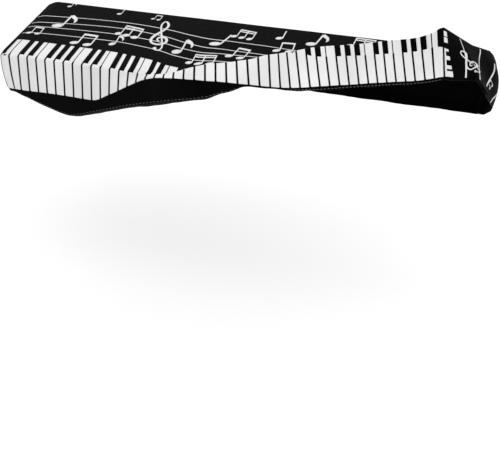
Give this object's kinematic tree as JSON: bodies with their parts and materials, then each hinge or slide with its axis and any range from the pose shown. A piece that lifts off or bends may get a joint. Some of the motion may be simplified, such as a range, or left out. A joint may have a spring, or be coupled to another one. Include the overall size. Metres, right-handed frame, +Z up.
{
  "type": "piano keyboard cover",
  "caption": "Fitted stretch cloth cover for a long keyboard, printed with keys and musical notes, its front pushed up and back in a fold that rises towards the right end.",
  "frame": {"origin": "on the underside of the top, halfway along and halfway between its front bend and its rear edge", "axes": "+X along the length to the right end, +Y to the rear, +Z up; the player's side is -Y"},
  "size_m": [1.3776, 0.3227, 0.3067],
  "materials": {
    "printed_cloth": "smooth matt stretch knit, black with a white printed keyboard, staves and notes",
    "end_cloth": "the same smooth matt black stretch knit, the right end printed with staves and notes"
  },
  "bodies": {
    "root": {"main_panel": "printed_cloth", "left_end_panel": "end_cloth", "right_end_panel": "end_cloth"}
  },
  "joints": []
}
